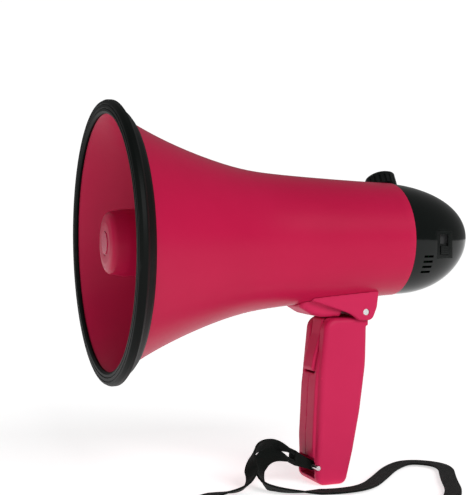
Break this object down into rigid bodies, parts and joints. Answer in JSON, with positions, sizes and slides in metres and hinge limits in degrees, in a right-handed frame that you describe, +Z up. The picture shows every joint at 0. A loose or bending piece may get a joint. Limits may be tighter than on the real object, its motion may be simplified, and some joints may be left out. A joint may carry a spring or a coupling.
{
  "type": "handheld megaphone",
  "caption": "Pistol-grip hand megaphone: flared horn with re-entrant reflector, rubber rim, domed rear cap with microphone, folding trigger handle and webbing wrist strap.",
  "frame": {"origin": "on the flat base of the handle, on its mid plane, below the handle's fold pivot's front edge", "axes": "+Z up; the bell opens towards -X and the rear cap points to +X; -Y is the user's right side when aiming the bell"},
  "size_m": [0.2383, 0.1968, 0.2322],
  "materials": {
    "horn_plastic": "satin moulded ABS, crimson pink",
    "handle_plastic": "satin moulded ABS, crimson pink, slightly lighter",
    "bumper_rubber": "matt black rubber",
    "cap_plastic": "gloss black ABS",
    "badge_plastic": "plain badge, no mark",
    "inner_plastic": "matt black moulding",
    "cone_film": "amber film",
    "copper_coil": "enamelled copper wire",
    "driver_steel": "zinc plated steel",
    "magnet_ferrite": "ground ferrite",
    "screw_steel": "bright steel",
    "cell_can": "printed sleeve over a steel can",
    "grille_metal": "black perforated steel",
    "mic_foam": "open cell foam",
    "board_laminate": "green circuit board",
    "heat_sink_metal": "brushed aluminium",
    "strap_webbing": "black woven webbing"
  },
  "bodies": {
    "horn": {"bell_shell": "horn_plastic", "bell_bumper": "bumper_rubber", "reflector_cup": "horn_plastic", "reflector_badge": "badge_plastic", "throat_horn": "horn_plastic", "throat_screws": "screw_steel", "driver_gasket": "bumper_rubber", "driver_front_plate": "inner_plastic", "diaphragm": "cone_film", "voice_coil": "copper_coil", "top_plate": "driver_steel", "ring_magnet": "magnet_ferrite", "pole_yoke": "driver_steel", "driver_cover": "inner_plastic", "driver_screws": "screw_steel", "battery_bulkhead": "inner_plastic", "battery_contacts": "screw_steel", "battery_magazine": "inner_plastic", "battery_cell_1": "cell_can", "battery_cell_2": "cell_can", "battery_cell_3": "cell_can", "battery_cell_4": "cell_can", "battery_cell_5": "cell_can", "battery_cell_6": "cell_can", "handle_bracket": "handle_plastic", "bracket_screws": "screw_steel", "pivot_pin": "screw_steel"},
    "cap": {"rear_cap": "cap_plastic", "mic_ring": "grille_metal", "mic_grille": "grille_metal", "mic_foam": "mic_foam", "mic_boot": "bumper_rubber", "mic_capsule": "screw_steel", "amp_board": "board_laminate", "amp_chip": "inner_plastic", "heat_sink": "heat_sink_metal", "capacitors": "heat_sink_metal", "board_screws": "screw_steel", "board_spacers": "inner_plastic", "contact_disc": "board_laminate", "contact_domes": "screw_steel", "potentiometer": "screw_steel", "switch_bezel": "cap_plastic", "slide_switch": "inner_plastic"},
    "knob": {"volume_knob": "cap_plastic"},
    "slider": {"mode_slider": "cap_plastic"},
    "handle": {"handle_near_shell": "handle_plastic", "handle_far_shell": "handle_plastic", "handle_screws": "screw_steel", "trigger_pin": "screw_steel", "trigger_spring": "screw_steel", "micro_switch": "inner_plastic", "strap_pin": "screw_steel", "strap_loop": "strap_webbing", "wrist_strap": "strap_webbing"},
    "trigger": {"trigger": "handle_plastic"}
  },
  "joints": [
    {"name": "handle_fold", "type": "hinge", "parent": "horn", "child": "handle", "pos_m": [0.023, 0, 0.1055], "axis": [0, -1, 0], "range_deg": [0, 90], "deforming": ["wrist_strap"]},
    {"name": "trigger_pull", "type": "hinge", "parent": "handle", "child": "trigger", "pos_m": [0.0015, 0, 0.0986], "axis": [0, -1, 0], "range_deg": [0, 5], "stiffness_Nm_per_rad": 0.5, "springref_deg": -6.88, "deforming": ["trigger_spring"]},
    {"name": "cap_twist", "type": "hinge", "parent": "horn", "child": "cap", "pos_m": [0.063, 0, 0.15], "axis": [1, 0, 0], "range_deg": [0, 25]},
    {"name": "volume_turn", "type": "hinge", "parent": "cap", "child": "knob", "pos_m": [0.054, 0.01878, 0.18532], "axis": [0, 0.4695, 0.8829], "range_deg": [0, 270]},
    {"name": "mode_slide", "type": "slide", "parent": "cap", "child": "slider", "axis": [0, 0, 1], "range_m": [0, 0.0065]}
  ]
}
